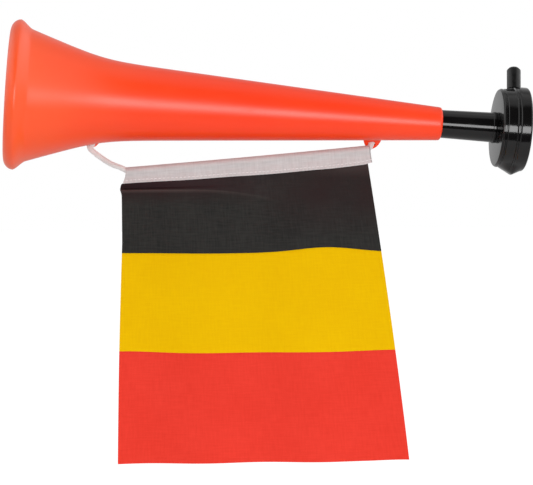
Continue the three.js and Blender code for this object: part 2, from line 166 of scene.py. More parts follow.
class Tree(Nodes):
    """A Geometry Nodes tree with named inputs, which makes a plain mesh from a line"""

    def __init__(self, name, sizes):
        super().__init__(bpy.data.node_groups.new(name, "GeometryNodeTree"))
        face = self.tree.interface
        face.new_socket("Geometry", in_out="OUTPUT", socket_type="NodeSocketGeometry")
        face.new_socket("Line", in_out="INPUT", socket_type="NodeSocketGeometry")
        for size, value in sizes.items():
            kind = "NodeSocketInt" if isinstance(value, int) else "NodeSocketFloat"
            face.new_socket(size, in_out="INPUT", socket_type=kind).default_value = value
        face.new_socket("Material", in_out="INPUT", socket_type="NodeSocketMaterial")
        self.given = self.tree.nodes.new("NodeGroupInput").outputs

    def vector(self, operation, **inputs):
        return self.add("ShaderNodeVectorMath", {"operation": operation}, **inputs).outputs[0]

    def circle(self, radius, steps):
        return self.add("GeometryNodeCurvePrimitiveCircle", Resolution=steps, Radius=radius).outputs[0]

    def swept(self, line, profile, caps=False):
        """The profile swept along the line"""
        made = self.add("GeometryNodeCurveToMesh", Curve=line, Profile_Curve=profile, Fill_Caps=caps)
        return made.outputs[0]

    def end(self, geometry):
        """Closes the tree with plain geometry in its material"""
        plain = self.add("GeometryNodeRealizeInstances", Geometry=geometry).outputs[0]
        painted = self.add("GeometryNodeSetMaterial", Geometry=plain, Material=self.given["Material"])
        self.tree.links.new(painted.outputs[0], self.tree.nodes.new("NodeGroupOutput").inputs[0])

    def make(self, name, line, material, **sizes):
        """The mesh object that the tree makes from a line object, which goes"""
        modifier = line.modifiers.new(name, "NODES")
        modifier.node_group = self.tree
        inputs = [item for item in self.tree.interface.items_tree if item.in_out == "INPUT"]
        keys = {item.name: item.identifier for item in inputs}
        modifier[keys["Material"]] = material
        for size, value in sizes.items():
            modifier[keys[size.replace("_", " ")]] = value
        graph = bpy.context.evaluated_depsgraph_get()
        mesh = bpy.data.meshes.new_from_object(line.evaluated_get(graph), depsgraph=graph)
        made = bpy.data.objects.new(name, mesh)
        scene.collection.objects.link(made)
        bpy.data.objects.remove(line)
        return made


class Finish(Nodes):
    """A procedural material round one Principled shader"""

    def __init__(self, name, roughness, **sockets):
        self.material = bpy.data.materials.new(name)
        self.material.use_nodes = True
        super().__init__(self.material.node_tree)
        self.shader = self.tree.nodes["Principled BSDF"]
        self.shader.inputs["Roughness"].default_value = roughness
        for socket, value in sockets.items():
            self.shader.inputs[socket.replace("_", " ")].default_value = value

    def place(self, scale=(1, 1, 1), uv=None):
        """Object coordinates, or a UV map in metres, stretched along its axes"""
        if uv:
            source = self.add("ShaderNodeUVMap", {"uv_map": uv}).outputs[0]
        else:
            source = self.add("ShaderNodeTexCoord").outputs["Object"]
        return self.add("ShaderNodeMapping", Vector=source, Scale=scale).outputs[0]

    def noise(self, vector, scale, detail=2.0):
        return self.add("ShaderNodeTexNoise", Vector=vector, Scale=scale, Detail=detail).outputs[0]

    def mix(self, factor, first, second):
        made = self.add("ShaderNodeMix", {"data_type": "RGBA"}, _0=factor, _6=first, _7=second)
        return made.outputs[2]

    def bump(self, height, distance, strength=1.0, under=None):
        made = self.add("ShaderNodeBump", Height=height, Distance=distance, Strength=strength)
        if under is not None:
            self.tree.links.new(under, made.inputs["Normal"])
        return made.outputs[0]

    def paint(self, **links):
        """The finished material, with these links into its shader"""
        for socket, value in links.items():
            self.tree.links.new(value, self.shader.inputs[socket.replace("_", " ")])
        return self.material


def rgb(text):
    """A screen colour such as ff5030 as linear light"""
    parts = [int(text[i : i + 2], 16) / 255 for i in (0, 2, 4)]
    return (*(c / 12.92 if c <= 0.04045 else ((c + 0.055) / 1.055) ** 2.4 for c in parts), 1)


def smooth(obj, angle=math.radians(35)):
    """Smooth shading that keeps the edges sharper than the angle"""
    obj.data.shade_smooth()
    obj.data.set_sharp_from_angle(angle=angle)


braid = Finish("white braid", 0.85, Sheen_Weight=0.25)
fibre = braid.noise(braid.place(), 2600, 3.0)
soil = braid.noise(braid.place(), 70)
braid.paint(
    Base_Color=braid.mix(braid.between(soil, 0, 1), rgb("d9d6d4"), rgb("e7e5e4")),
    Normal=braid.bump(fibre, 0.00012, 0.5),
)

# Each yarn winds round the route and dives under every other yarn that winds the other way
braid_sizes = {
    "Steps": 420,
    "Yarns": 8,
    "Turns": 24.0,
    "Core Radius": 0.00142,
    "Yarn Radius": 0.00042,
    "Weave": 0.00012,
    "Yarn Lift": 0.0001,
}
braiding = Tree("Braid", braid_sizes)
given = braiding.given
route = braiding.add("GeometryNodeResampleCurve", Curve=given["Line"], Count=given["Steps"]).outputs[0]
yarn_profile = braiding.circle(given["Yarn Radius"], 6)
strands = [braiding.swept(route, braiding.circle(given["Core Radius"], 12), caps=True)]
for way in (1, -1):
    copies = braiding.add(
        "GeometryNodeDuplicateElements", {"domain": "SPLINE"}, Geometry=route, Amount=given["Yarns"]
    )
    along = braiding.add("GeometryNodeSplineParameter").outputs["Factor"]
    winds = braiding.math("MULTIPLY", along, given["Turns"])
    start = braiding.math("DIVIDE", copies.outputs["Duplicate Index"], given["Yarns"])
    phase = braiding.math("ADD", braiding.math("MULTIPLY", winds, way), start)
    angle = braiding.math("MULTIPLY", phase, 2 * math.pi)
    crossings = braiding.math("MULTIPLY", winds, given["Yarns"])
    dive = braiding.math("COSINE", braiding.math("MULTIPLY", crossings, 2 * math.pi))
    weave = braiding.math("MULTIPLY", braiding.math("MULTIPLY", dive, given["Weave"]), way)
    bed = braiding.math("ADD", given["Core Radius"], weave)
    off_axis = braiding.math("ADD", bed, given["Yarn Lift"])
    normal = braiding.add("GeometryNodeInputNormal").outputs[0]
    tangent = braiding.add("GeometryNodeInputTangent").outputs[0]
    side = braiding.vector("CROSS_PRODUCT", _0=tangent, _1=normal)
    out = braiding.math("MULTIPLY", off_axis, braiding.math("COSINE", angle))
    over = braiding.math("MULTIPLY", off_axis, braiding.math("SINE", angle))
    offset = braiding.vector(
        "ADD",
        _0=braiding.vector("SCALE", _0=normal, Scale=out),
        _1=braiding.vector("SCALE", _0=side, Scale=over),
    )
    wound = braiding.add("GeometryNodeSetPosition", Geometry=copies.outputs["Geometry"], Offset=offset)
    strands.append(braiding.swept(wound.outputs[0], yarn_profile, caps=True))
braiding.end(braiding.add("GeometryNodeJoinGeometry", Geometry=strands).outputs[0])
cord_line = smooth_route(cord_places, 24)
cord = braiding.make("hanging_cord", line_object("cord_route", cord_line), braid.material)
smooth(cord)

# A stop knot is the braid's end pulled through its own loop
knot_loop_radius = 0.00135
knot_depth = 1.3
knot_steps = 72
knots = []
for end, inner in ((cord_places[0], cord_places[1]), (cord_places[-1], cord_places[-2])):
    way = (Vector(end) - Vector(inner)).normalized()
    turn = way.to_track_quat("Z", "Y").to_matrix()
    loop = []
    for i in range(knot_steps):
        t = 2 * math.pi * i / knot_steps
        flat = Vector((
            math.sin(t) + 2 * math.sin(2 * t),
            math.cos(t) - 2 * math.cos(2 * t),
            -math.sin(3 * t) * knot_depth,
        ))
        loop.append(Vector(end) + turn @ (flat * knot_loop_radius / 2))
    knots.append(line_object("knot_route", loop, closed=True))
tying = Tree("Knot", {"Radius": 0.0014})
tying.end(tying.swept(tying.given["Line"], tying.circle(tying.given["Radius"], 12)))
knot_names = ("left_stop_knot", "right_stop_knot")
knots = [tying.make(name, line, braid.material) for name, line in zip(knot_names, knots)]
for knot in knots:
    smooth(knot)
    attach(knot, "trumpet")
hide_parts("flag_cord")
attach(cord, "trumpet")

# Trumpet
# One hollow blow moulding in orange plastic with a rolled lip round the mouth and a socket in the neck.
# Two half-round eyes for the cord stand under it, leaning to the back.
horn_length = 0.302
grip_station = 0.276
horn_wall = 0.0016
neck_radius = 0.0114
neck_stop = horn_length - 0.001
body_slope = 0.069
bell_slope = 0.281
bell_start = 0.065
bell_softness = 0.009
lip_face_radius = 0.0438
lip_face_width = 0.0024
lip_peak = 0.0068
lip_peak_radius = 0.0515
lip_end = 0.0152
axis_drop = Matrix.Rotation(math.radians(4.2), 4, "Y")
horn_axis = axis_drop @ Matrix.Translation((-grip_station, 0, 0))


def eased(value):
    """A soft step from 0 to 1"""
    value = np.clip(value, 0, 1)
    return value * value * (3 - 2 * value)


def trumpet_radius(station):
    """Outer radius of the trumpet at a distance from its mouth"""
    flare = bell_softness * math.log(1 + math.exp((bell_start - station) / bell_softness))
    return neck_radius + body_slope * (horn_length - station) + bell_slope * flare


def lip_radius(station):
    """Outer radius behind the lip's peak, where it falls to the trumpet"""
    height = lip_peak_radius - trumpet_radius(lip_peak)
    return trumpet_radius(station) + height * (1 - eased((station - lip_peak) / (lip_end - lip_peak)))


def arc(place, radius, rounding, start, stop, steps=6):
    """A rounded corner of an outline, from one direction to another in quarter turns"""
    return [
        (place + rounding * math.cos(a), radius + rounding * math.sin(a))
        for a in (math.pi / 2 * (start + (stop - start) * i / steps) for i in range(steps + 1))
    ]


# Turning: a closed outline of (place, radius) points is swept round a circle on the axis
turning_circle = 0.01
turning = Tree("Turned", {"Steps": 160, "Circle": turning_circle})
path = turning.circle(turning.given["Circle"], turning.given["Steps"])
swept = turning.swept(path, turning.given["Line"])
turning.end(turning.add("GeometryNodeMergeByDistance", Geometry=swept, Distance=1e-6).outputs[0])


def turned(name, outline, material, place, steps=160):
    """A turned piece, its X axis laid by the matrix, with its faces outwards"""
    corners = [(radius - turning_circle, -x, 0) for x, radius in outline]
    line = line_object(name + "_outline", corners, closed=True)
    made = turning.make(name, line, material, Steps=steps)
    made.data.transform(place @ Matrix.Rotation(math.pi / 2, 4, "Y"))
    shape = bmesh.new()
    shape.from_mesh(made.data)
    bmesh.ops.dissolve_degenerate(shape, dist=1e-7, edges=shape.edges)
    loose = [edge for edge in shape.edges if not edge.link_faces]
    bmesh.ops.delete(shape, geom=loose, context="EDGES")
    bmesh.ops.recalc_face_normals(shape, faces=shape.faces)
    shape.to_mesh(made.data)
    shape.free()
    return made


def joined(name, pieces):
    """Several mesh objects as one"""
    shape = bmesh.new()
    for piece in pieces:
        shape.from_mesh(piece.data)
    first = pieces[0]
    shape.to_mesh(first.data)
    shape.free()
    for piece in pieces[1:]:
        bpy.data.objects.remove(piece)
    first.name = name
    return first


orange = Finish(
    "orange plastic",
    0.36,
    IOR=1.5,
    Subsurface_Weight=0.06,
    Subsurface_Radius=(1.0, 0.5, 0.25),
    Subsurface_Scale=0.004,
)
mottle = orange.noise(orange.place(), 14)
flow = orange.noise(orange.place(scale=(0.06, 1, 1)), 190, 3.0)
grain = orange.noise(orange.place(), 1500)
scuffs = orange.noise(orange.place(scale=(0.25, 1, 1)), 420, 4.0)
along_horn = orange.add("ShaderNodeSeparateXYZ", _0=orange.place()).outputs["X"]
# The orange turns paler towards the bell
neck_orange = orange.mix(orange.between(mottle, 0, 1), rgb("ff3b0f"), rgb("ff4314"))
bell_orange = orange.mix(orange.between(mottle, 0, 1), rgb("ff5524"), rgb("ff5d2a"))
scuffed = orange.between(scuffs, 0, 0.08, 0.62, 0.75)
orange.paint(
    Base_Color=orange.mix(orange.between(along_horn, 1, 0, -0.27, -0.18), neck_orange, bell_orange),
    Roughness=orange.math("ADD", orange.between(flow, 0.33, 0.38), scuffed),
    Normal=orange.bump(grain, 0.00006, 0.35, under=orange.bump(flow, 0.00008, 0.3)),
)

# The outline runs over the lip, along the outside, round the neck's end, back inside and up in the lip
lip_height = lip_peak_radius - lip_face_radius
turns = [math.pi / 2 * i / 24 for i in range(24)]
lip = [(lip_peak * (1 - math.cos(a)), lip_face_radius + lip_height * math.sin(a)) for a in turns]
stations = [lip_peak + (lip_end - lip_peak) * i / 20 for i in range(20)]
bell_end = 0.137
neck_rounding_start = neck_stop - 0.0022
stations += [lip_end + (bell_end - lip_end) * i / 40 for i in range(41)]
stations += [bell_end + (neck_rounding_start - bell_end) * i / 24 for i in range(1, 25)]
outside = [(s, lip_radius(s)) for s in stations]
neck_end = arc(neck_stop - 0.0014, neck_radius - 0.0012, 0.0013, 0.8, 0, 5)
socket_radius = 0.01005
socket_depth = 0.018
socket_end = horn_length - socket_depth
stop_height = 0.0015
socket = [
    (neck_stop, socket_radius + 0.0002),
    (neck_stop - 0.0003, socket_radius),
    (socket_end, socket_radius),
    (socket_end, socket_radius - stop_height),
    (socket_end - 0.003, socket_radius - stop_height),
]
inside = [(s, lip_radius(s) - horn_wall) for s in reversed(stations) if s < socket_end - 0.009]
hollow_depth, hollow_height = lip_peak - horn_wall, lip_height - horn_wall
curl = [
    (lip_peak - hollow_depth * math.cos(a), lip_face_radius + hollow_height * math.sin(a))
    for a in reversed(turns)
]
mouth_radius = lip_face_radius - lip_face_width
mouth_break = 0.0003
mouth = [
    (horn_wall, mouth_radius + mouth_break),
    (horn_wall - mouth_break, mouth_radius),
    (mouth_break, mouth_radius),
    (0, mouth_radius + mouth_break),
]
horn_outline = [*lip, *outside, *neck_end, *socket, *inside, *curl, *mouth]
shell = turned("trumpet", horn_outline, orange.material, horn_axis, 192)

eye_stations = (0.0602, 0.2554)
eye_turn = math.radians(40)
eye_height = 0.0114
eye_reach = 0.0065
eye_thickness = 0.0024
eye_rounding = 0.0005
eye_hole_height = 0.007
eye_hole_radius = 0.0023


def eye(station):
    """A half-round ear with a rounded edge and a hole for the cord"""
    outline = []
    for i in range(29):
        a = math.pi * i / 28
        x = -eye_reach * math.cos(a)
        outline.append((x, trumpet_radius(station + x) + eye_height * math.sin(a)))
    for x in (eye_reach, 0, -eye_reach):
        outline.append((x, trumpet_radius(station + x) - horn_wall / 2))
    middle = trumpet_radius(station) + eye_hole_height
    hole = [
        (eye_hole_radius * math.cos(a), middle + eye_hole_radius * math.sin(a))
        for a in (2 * math.pi * i / 30 for i in range(30))
    ]
    shape = bmesh.new()
    edges = []
    for loop in (outline, hole):
        corners = [shape.verts.new((x, y, -eye_thickness / 2)) for x, y in loop]
        edges += [shape.edges.new((a, b)) for a, b in zip(corners, corners[1:] + corners[:1])]
    flat = bmesh.ops.triangle_fill(shape, edges=edges, use_beauty=True)
    faces = [f for f in flat["geom"] if isinstance(f, bmesh.types.BMFace)]
    pulled = bmesh.ops.extrude_face_region(shape, geom=faces)
    moved = [v for v in pulled["geom"] if isinstance(v, bmesh.types.BMVert)]
    bmesh.ops.translate(shape, verts=moved, vec=(0, 0, eye_thickness))
    bmesh.ops.recalc_face_normals(shape, faces=shape.faces)
    rims = [e for e in shape.edges if len(e.link_faces) == 2 and e.calc_face_angle() > 1.2]
    bmesh.ops.bevel(shape, geom=rims, offset=eye_rounding, segments=3, affect="EDGES", profile=0.5)
    mesh = bpy.data.meshes.new("eye")
    shape.to_mesh(mesh)
    shape.free()
    lean = Matrix.Rotation(-math.pi / 2 + eye_turn, 4, "X")
    mesh.transform(horn_axis @ Matrix.Translation((station, 0, 0)) @ lean)
    mesh.materials.append(orange.material)
    return bpy.data.objects.new("eye", mesh)


trumpet = joined("trumpet", [shell, *map(eye, eye_stations)])
smooth(trumpet, math.radians(40))
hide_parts("horn_body")
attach(trumpet, "trumpet")

# Neck tube
# A turned-looking moulding in glossy black plastic, pushed into the trumpet's socket. Its collar bears on
# the drum's face, and its inner end is the lip that the membrane beats on.
seat_gap = 0.0003
black = Finish("black plastic", 0.16, IOR=1.45)
dust = black.noise(black.place(), 900, 4.0)
wipe = black.noise(black.place(scale=(1, 1, 0.3)), 60, 3.0)
tone = black.noise(black.place(), 35)
dusty = black.between(dust, 0, 0.14, 0.6, 0.8)
black.paint(
    Base_Color=black.mix(black.between(tone, 0, 1), rgb("0b0a0b"), rgb("100f0f")),
    Roughness=black.math("ADD", black.between(wipe, 0.08, 0.14), dusty),
    Normal=black.bump(dust, 0.00002, 0.25),
)
drum_place = 0.0644
drum_axis = axis_drop @ Matrix.Translation((drum_place, 0, 0))
tube_free_length = 0.0384
tube_start = -tube_free_length - socket_depth + seat_gap
tube_end = 0.0162
tube_radius = 0.00975
bore_radius = 0.0081
collar_radius = 0.0104
collar_rounding = 0.0005
tube_outline = [
    (tube_start, bore_radius),
    (tube_start, tube_radius - 0.0006),
    (tube_start + 0.0006, tube_radius),
    (-tube_free_length, tube_radius),
    (-seat_gap - 0.0045, collar_radius),
    *arc(-seat_gap - 0.0028, collar_radius, collar_rounding, 2, 1, 4),
    *arc(-seat_gap - 0.0008, collar_radius, collar_rounding, 1, 0, 4),
    (-seat_gap, collar_radius),
    (tube_end - 0.002, collar_radius),
    (tube_end, 0.0092),
    (tube_end, bore_radius),
]
tube = turned("sound_tube", tube_outline, black.material, drum_axis, 128)
smooth(tube)
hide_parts("neck_tube")
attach(tube, "head")

# Drum
# A moulded cup in glossy black plastic, with a bead round its flat face, a step to a wider band and a low
# wedge underneath that keeps it from rolling. A hub inside grips the neck tube, and a boss on top takes
# the blow tube.
blow_place = 0.0126
blow_lean = math.radians(20)
radial = (
    drum_axis
    @ Matrix.Translation((blow_place, 0, 0))
    @ Matrix.Rotation(-blow_lean, 4, "X")
    @ Matrix.Rotation(-math.pi / 2, 4, "Y")
)
wall_radius = 0.02755
band_radius = 0.0293
cup_radius = 0.0254
drum_outline = [
    (0, 0.0107),
    *arc(0.0009, 0.0261, 0.0009, 2, 1, 8),
    (0.0011, 0.0273),
    *[(0.0013 + 0.0003 * i, 0.0274) for i in range(4)],
    (0.0025, 0.0272),
    (0.0027, 0.0269),
    (0.0033, 0.0269),
    (0.0036, 0.0273),
    *[(0.0039 + 0.0011 * i, wall_radius) for i in range(6)],
    *arc(0.0097, 0.0281, 0.0005, 3, 4, 5),
    *arc(0.0107, 0.0284, 0.0005, 2, 1, 5),
    *[(0.0108 + 0.0002 * i, 0.0289) for i in range(3)],
    (0.0115, 0.0286),
    (0.012, 0.0286),
    (0.0123, 0.0289),
    (0.0128, 0.0292),
    *[(0.0134 + 0.001 * i, band_radius) for i in range(6)],
    *arc(0.0187, 0.0278, 0.0015, 1, 0, 8),
    (0.0202, 0.0273),
    (0.02, 0.027),
    (0.0162, 0.027),
    (0.0162, cup_radius),
    (0.0018, cup_radius),
    (0.0018, 0.0127),
    (0.0083, 0.0127),
    (0.0083, 0.0107),
]
drum = turned("drum_cup", drum_outline, black.material, drum_axis, 192)

# The wedge swells out of the wall straight below the axis
wedge_start, wedge_crest, wedge_end = 0.001, 0.0124, 0.0204
wedge_low, wedge_top, wedge_fall = 0.0262, 0.0323, 0.004
wedge_half_width, wedge_fade = 9, 22


def on_the_wall(x, radius):
    """Whether a vertex lies on the cup's outside, not on its back rim or inside"""
    return radius > 0.0265 and x < 0.0201 and (radius > 0.0271 or x < 0.016)


def wedge_radius(x):
    """The wedge's height, which rises to its crest and falls a little behind it"""
    if x < wedge_crest:
        return wedge_low + (wedge_top - wedge_low) * (x - wedge_start) / (wedge_crest - wedge_start)
    return wedge_top - wedge_fall * (x - wedge_crest) / (wedge_end - wedge_crest)


for vertex in drum.data.vertices:
    place = drum_axis.inverted() @ vertex.co
    radius = math.hypot(place.y, place.z)
    if on_the_wall(place.x, radius):
        off = abs(math.degrees(math.atan2(place.y, -place.z)))
        swell = max(0, wedge_radius(place.x) - radius) * (1 - eased((off - wedge_half_width) / wedge_fade))
        grown = Vector((place.y, place.z)) * (1 + float(swell) / radius)
        vertex.co = drum_axis @ Vector((place.x, *grown))


def cut(piece, other, operation):
    """The piece joined with the other solid, or with it taken out"""
    modifier = piece.modifiers.new("cut", "BOOLEAN")
    modifier.object = other
    modifier.operation = operation
    modifier.solver = "EXACT"
    graph = bpy.context.evaluated_depsgraph_get()
    mesh = bpy.data.meshes.new_from_object(piece.evaluated_get(graph), depsgraph=graph)
    piece.modifiers.clear()
    piece.data = mesh
    bpy.data.objects.remove(other)


boss_start, boss_top, boss_radius = 0.0268, 0.0293, 0.005
boss_outline = [
    (boss_start, 0),
    (boss_start, boss_radius),
    (boss_top - 0.0002, boss_radius),
    (boss_top, boss_radius - 0.0002),
    (boss_top, 0),
]
cut(drum, turned("boss", boss_outline, black.material, radial, 64), "UNION")
hole_radius = 0.0034
hole_outline = [(0.0145, 0), (0.0145, hole_radius), (0.06, hole_radius), (0.06, 0)]
cut(drum, turned("hole", hole_outline, black.material, radial, 64), "DIFFERENCE")
smooth(drum, math.radians(32))
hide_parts("drum_body")
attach(drum, "head")

# Blow tube
# A black plastic pipe for the lips, dulled by handling and chamfered at its tip. It is pressed into the
# drum's boss down to its shoulder.
handled = Finish("handled black plastic", 0.3, IOR=1.38)
grease = handled.noise(handled.place(), 220, 4.0)
handled.paint(
    Base_Color=handled.mix(handled.between(grease, 0, 1), rgb("0c0c0c"), rgb("131212")),
    Roughness=handled.between(grease, 0.26, 0.4),
    Normal=handled.bump(grease, 0.00003, 0.3),
)
pipe_radius, pipe_bore = 0.0049, 0.0026
blow_outline = [
    (0.0262, pipe_bore),
    (0.0262, hole_radius),
    (0.0296, hole_radius),
    (0.0296, pipe_radius - 0.0002),
    (0.0298, pipe_radius),
    (0.044, pipe_radius),
    (0.0443, 0.00475),
    (0.0455, 0.0037),
    (0.0459, 0.0032),
    (0.046, 0.0029),
    (0.0459, pipe_bore),
]
pipe = turned("blow_pipe", blow_outline, handled.material, radial, 96)
smooth(pipe)
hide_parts("blow_tube")
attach(pipe, "head")

# Membrane and pressure ring
# A thin film lies on a ledge in the drum and beats on the lip of the neck tube. A black plastic ring clamps
# its edge, and moves in and out with the cap.
film = Finish("clear film", 0.25, IOR=1.5)
haze = film.noise(film.place(), 120, 3.0)
film.paint(
    Base_Color=film.mix(film.between(haze, 0, 1), rgb("d4d3cb"), rgb("e0dfd8")),
    Roughness=film.between(haze, 0.2, 0.34),
)
lodged_radius = 0.0267
film_outline = [(0.0165, 0), (0.0165, 0.0265), (0.0167, lodged_radius), (0.0168, 0.0265), (0.0168, 0)]
disc = turned("film", film_outline, film.material, drum_axis, 128)
smooth(disc)
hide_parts("membrane")
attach(disc, "head")
clamp_outline = [
    (0.0171, 0.0237),
    (0.0171, 0.0265),
    (0.0173, lodged_radius),
    (0.0177, lodged_radius),
    (0.0179, 0.0265),
    (0.0179, 0.0237),
    (0.0178, 0.0235),
    (0.0172, 0.0235),
]
clamp = turned("clamp_ring", clamp_outline, black.material, drum_axis, 128)
smooth(clamp)
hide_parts("pressure_ring")
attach(clamp, "ring")

# Screw cap
# A black disc screwed into the back of the drum against the ring. A coin turns it by its slot, and six
# vents let the film move freely.
cap_outline = [
    (0.0182, 0),
    (0.0182, lodged_radius),
    (0.0196, lodged_radius),
    (0.0198, 0.0266),
    (0.02, 0.0263),
    (0.02, 0.0145),
    (0.0199, 0.0143),
    (0.0199, 0),
]
cap = turned("screw_cap", cap_outline, black.material, drum_axis, 160)
venting = Tree("Vents", {"Count": 6, "Circle": 0.012, "Vent Radius": 0.0018, "Depth": 0.006})
given = venting.given
vent_places = venting.circle(given["Circle"], given["Count"])
drill = venting.add(
    "GeometryNodeMeshCylinder", Vertices=32, Radius=given["Vent Radius"], Depth=given["Depth"]
).outputs[0]
venting.end(venting.add("GeometryNodeInstanceOnPoints", Points=vent_places, Instance=drill).outputs[0])
drills = venting.make("drills", line_object("vent_centre", [(0, 0, 0), (0, 0, 0.001)]), black.material)
across_the_cap = Matrix.Translation((0.0191, 0, 0)) @ Matrix.Rotation(math.pi / 2, 4, "Y")
drills.data.transform(drum_axis @ across_the_cap)
cut(cap, drills, "DIFFERENCE")


def slot_block(floor, top, width, length):
    """The block that a coin slot takes out of the cap"""
    shape = bmesh.new()
    corners = [(floor, -width / 2), (top, -width / 2), (top, width / 2), (floor, width / 2)]
    flat = shape.faces.new([shape.verts.new((x, -length / 2, z)) for x, z in corners])
    pulled = bmesh.ops.extrude_face_region(shape, geom=[flat])
    moved = [v for v in pulled["geom"] if isinstance(v, bmesh.types.BMVert)]
    bmesh.ops.translate(shape, verts=moved, vec=(0, length, 0))
    bmesh.ops.recalc_face_normals(shape, faces=shape.faces)
    mesh = bpy.data.meshes.new("slot")
    shape.to_mesh(mesh)
    shape.free()
    mesh.transform(drum_axis)
    mesh.materials.append(black.material)
    made = bpy.data.objects.new("slot", mesh)
    scene.collection.objects.link(made)
    return made


cut(cap, slot_block(floor=0.019, top=0.021, width=0.0024, length=0.03), "DIFFERENCE")
smooth(cap)
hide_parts("drum_cap")
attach(cap, "cap")

# Tape
# A white woven tape, folded over the cord and sewn along its lower edges with the flag between them. It
# sags a little from end to end, and its left end is cut askew.
run_left = Vector((-0.1951, 0.01847, -0.03382))
run_right = Vector((-0.02584, 0.01076, -0.01957))
run = (run_right - run_left).normalized()
rise = (Vector((0, 0, 1)) - run * run.z).normalized()
back = rise.cross(run)
tape_left = run_left + run * 0.0012
tape_start, tape_end = -0.0002, 0.1713
tape_length = tape_end - tape_start
tape_drop = 0.0102
tape_sag = 0.0004


def cloth_mesh(name, points, across, down, thickness, material):
    """A closed sheet of cloth round its middle surface, with a UV map in metres of cloth"""
    rows, columns = points.shape[:2]
    normal = np.cross(np.gradient(points, axis=1), np.gradient(points, axis=0))
    normal /= np.linalg.norm(normal, axis=2, keepdims=True)
    sides = [points + normal * thickness / 2, points - normal * thickness / 2]
    front = np.arange(rows * columns).reshape(rows, columns)
    behind = front + rows * columns
    faces = []

    def quads(a, b, c, d):
        faces.append(np.stack([a.ravel(), b.ravel(), c.ravel(), d.ravel()], 1))

    quads(front[:-1, :-1], front[:-1, 1:], front[1:, 1:], front[1:, :-1])
    quads(behind[1:, :-1], behind[1:, 1:], behind[:-1, 1:], behind[:-1, :-1])
    quads(front[0, :-1], behind[0, :-1], behind[0, 1:], front[0, 1:])
    quads(front[-1, :-1], front[-1, 1:], behind[-1, 1:], behind[-1, :-1])
    quads(front[:-1, 0], front[1:, 0], behind[1:, 0], behind[:-1, 0])
    quads(front[:-1, -1], behind[:-1, -1], behind[1:, -1], front[1:, -1])
    mesh = bpy.data.meshes.new(name)
    corners = np.concatenate([side.reshape(-1, 3) for side in sides])
    mesh.from_pydata(corners.tolist(), [], np.concatenate(faces).tolist())
    places = np.stack([across.ravel(), down.ravel()], 1)
    places = np.concatenate([places, places])
    loops = np.empty(len(mesh.loops), np.int64)
    mesh.loops.foreach_get("vertex_index", loops)
    mesh.uv_layers.new(name="weave").uv.foreach_set("vector", places[loops].astype(np.float32).ravel())
    mesh.materials.append(material)
    made = bpy.data.objects.new(name, mesh)
    scene.collection.objects.link(made)
    smooth(made, math.radians(50))
    return made


def woven(name, dark, light, thread, roughness=0.8, shine=0.15, relief=0.7, tint=None):
    """Plain-woven cloth: warp and weft threads of uneven thickness, with a little soil"""
    made = Finish(name, roughness, Specular_IOR_Level=shine)
    uv = made.place(uv="weave")
    band_at_scale_one = 0.314
    waves = [
        made.add(
            "ShaderNodeTexWave",
            {"bands_direction": way},
            Vector=uv,
            Scale=band_at_scale_one / thread,
            Distortion=0.6,
            Detail=1.0,
            Detail_Scale=2.0,
        ).outputs["Fac"]
        for way in "XY"
    ]
    thick_warp = made.noise(made.place(scale=(1, 0.1, 1), uv="weave"), 900)
    thick_weft = made.noise(made.place(scale=(0.1, 1, 1), uv="weave"), 900)
    soil = made.noise(uv, 28, 3.0)
    threads = made.math("MULTIPLY", made.math("ADD", *waves), 0.5)
    slubs = made.math("MULTIPLY", made.math("ADD", thick_warp, thick_weft), 0.5)
    tone = made.math("ADD", made.math("MULTIPLY", slubs, 0.7), made.math("MULTIPLY", soil, 0.3))
    colour = made.mix(made.between(tone, 0, 1, 0.38, 0.62), rgb(dark), rgb(light))
    across, down = made.add("ShaderNodeSeparateXYZ", _0=uv).outputs[:2]
    if tint:
        colour = tint(made, colour, across, down)
    made.paint(
        Base_Color=colour,
        Normal=made.bump(made.math("ADD", threads, slubs), 0.00012, relief),
    )
    return made


def painted_end_shade(cloth, colour, across, down):
    """Painted shade at the tape's right end, where its open fold lies in the shade of the front layer"""
    end = cloth.between(down, 0, 0.6, tape_end - 0.0008, tape_end - 0.0004)
    return cloth.mix(end, colour, rgb("7d7676"))


# The tape's right end gets painted shade
tape_cloth = woven("white tape", "c4bdbd", "d1cccc", 0.0004, 0.75, tint=painted_end_shade)

# The fold in section, from the front edge up round the cord and down to the back edge
front_edge, join = -0.00105, -0.0036
fold_radius = 0.00274
fold = [(front_edge, z) for z in np.linspace(-tape_drop, join, 12, endpoint=False)]
for i in range(21):
    a = math.radians(225 - 270 * i / 20)
    fold.append((fold_radius * math.cos(a), fold_radius * math.sin(a)))
fold += [(-front_edge, z) for z in np.linspace(join, -tape_drop, 13)[1:]]
fold = np.array(fold)
girth = np.concatenate([[0], np.cumsum(np.linalg.norm(np.diff(fold, axis=0), axis=1))])

# Along the tape: it puckers at each stitch and in slow waves
stitch_spacing = 0.0029
share = np.linspace(0, 1, 344)
steps = tape_start + tape_length * share
low = np.clip((-fold[:, 1] + join) / (tape_drop + join), 0, 1)
pucker = 0.00012 * np.sin(steps / stitch_spacing * 2 * math.pi) + 0.0002 * np.sin(steps / 0.023 + 1.3)


def hem(share):
    """How far the tape's lower edge lies above its level, drawn up at both ends"""
    sag = 0.0024 * (1 - (1 - np.minimum(share / 0.7, 1)) ** 2)
    steps = tape_length * share
    uneven = 0.0002 * np.sin(steps / 0.037 + 0.6) + 0.00012 * np.sin(steps / 0.0091)
    drawn_up = 0.0008 * eased((share - 0.8) / 0.2)
    tip = 0.0009 * eased((share - 0.965) / 0.035)
    return 0.0019 - sag + drawn_up + tip + uneven


